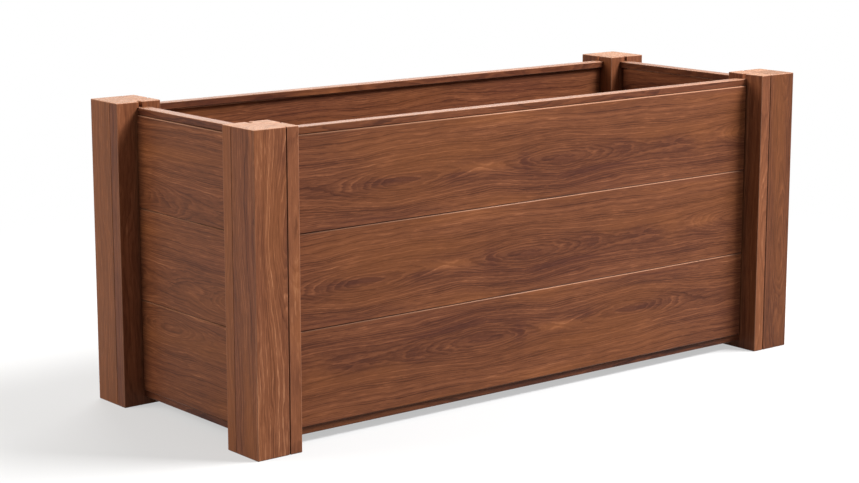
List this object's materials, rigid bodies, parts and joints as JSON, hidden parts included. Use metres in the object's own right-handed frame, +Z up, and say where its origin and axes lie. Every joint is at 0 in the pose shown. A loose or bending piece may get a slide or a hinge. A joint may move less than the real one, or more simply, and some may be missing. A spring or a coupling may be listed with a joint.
{
  "type": "window box planter",
  "caption": "Long rectangular hardwood planter: tongued and grooved walls let into grooved corner posts, with top and bottom rails and a slatted floor.",
  "frame": {"origin": "on the ground, under the middle of the box", "axes": "+X along the length, +Y from the front wall to the back wall, +Z up"},
  "size_m": [1, 0.4, 0.43],
  "materials": {
    "post_core": "oiled hardwood, vertical grain, satin",
    "post_stile": "oiled hardwood, vertical grain, satin",
    "wall_board": "oiled hardwood with flame grain, satin",
    "rail": "oiled hardwood, long grain, satin",
    "floor_wood": "planed hardwood, left bare, matt",
    "screw": "stainless steel"
  },
  "bodies": {
    "root": {"front_left_post_core": "post_core", "front_left_post_long_stile": "post_stile", "front_left_post_end_stile": "post_stile", "front_left_long_lock_screw": "screw", "front_left_end_lock_screw": "screw", "front_right_post_core": "post_core", "front_right_post_long_stile": "post_stile", "front_right_post_end_stile": "post_stile", "front_right_long_lock_screw": "screw", "front_right_end_lock_screw": "screw", "back_left_post_core": "post_core", "back_left_post_long_stile": "post_stile", "back_left_post_end_stile": "post_stile", "back_left_long_lock_screw": "screw", "back_left_end_lock_screw": "screw", "back_right_post_core": "post_core", "back_right_post_long_stile": "post_stile", "back_right_post_end_stile": "post_stile", "back_right_long_lock_screw": "screw", "back_right_end_lock_screw": "screw", "front_bottom_rail": "rail", "front_board_1": "wall_board", "front_board_2": "wall_board", "front_board_3": "wall_board", "front_top_rail": "rail", "back_bottom_rail": "rail", "back_board_1": "wall_board", "back_board_2": "wall_board", "back_board_3": "wall_board", "back_top_rail": "rail", "left_bottom_rail": "rail", "left_board_1": "wall_board", "left_board_2": "wall_board", "left_board_3": "wall_board", "left_top_rail": "rail", "right_bottom_rail": "rail", "right_board_1": "wall_board", "right_board_2": "wall_board", "right_board_3": "wall_board", "right_top_rail": "rail", "front_cleat": "floor_wood", "front_cleat_screw_1": "screw", "front_cleat_screw_2": "screw", "front_cleat_screw_3": "screw", "front_cleat_screw_4": "screw", "back_cleat": "floor_wood", "back_cleat_screw_1": "screw", "back_cleat_screw_2": "screw", "back_cleat_screw_3": "screw", "back_cleat_screw_4": "screw", "floor_slat_1": "floor_wood", "floor_slat_2": "floor_wood", "floor_slat_3": "floor_wood", "floor_slat_4": "floor_wood", "floor_slat_5": "floor_wood", "floor_slat_6": "floor_wood"}
  },
  "joints": []
}
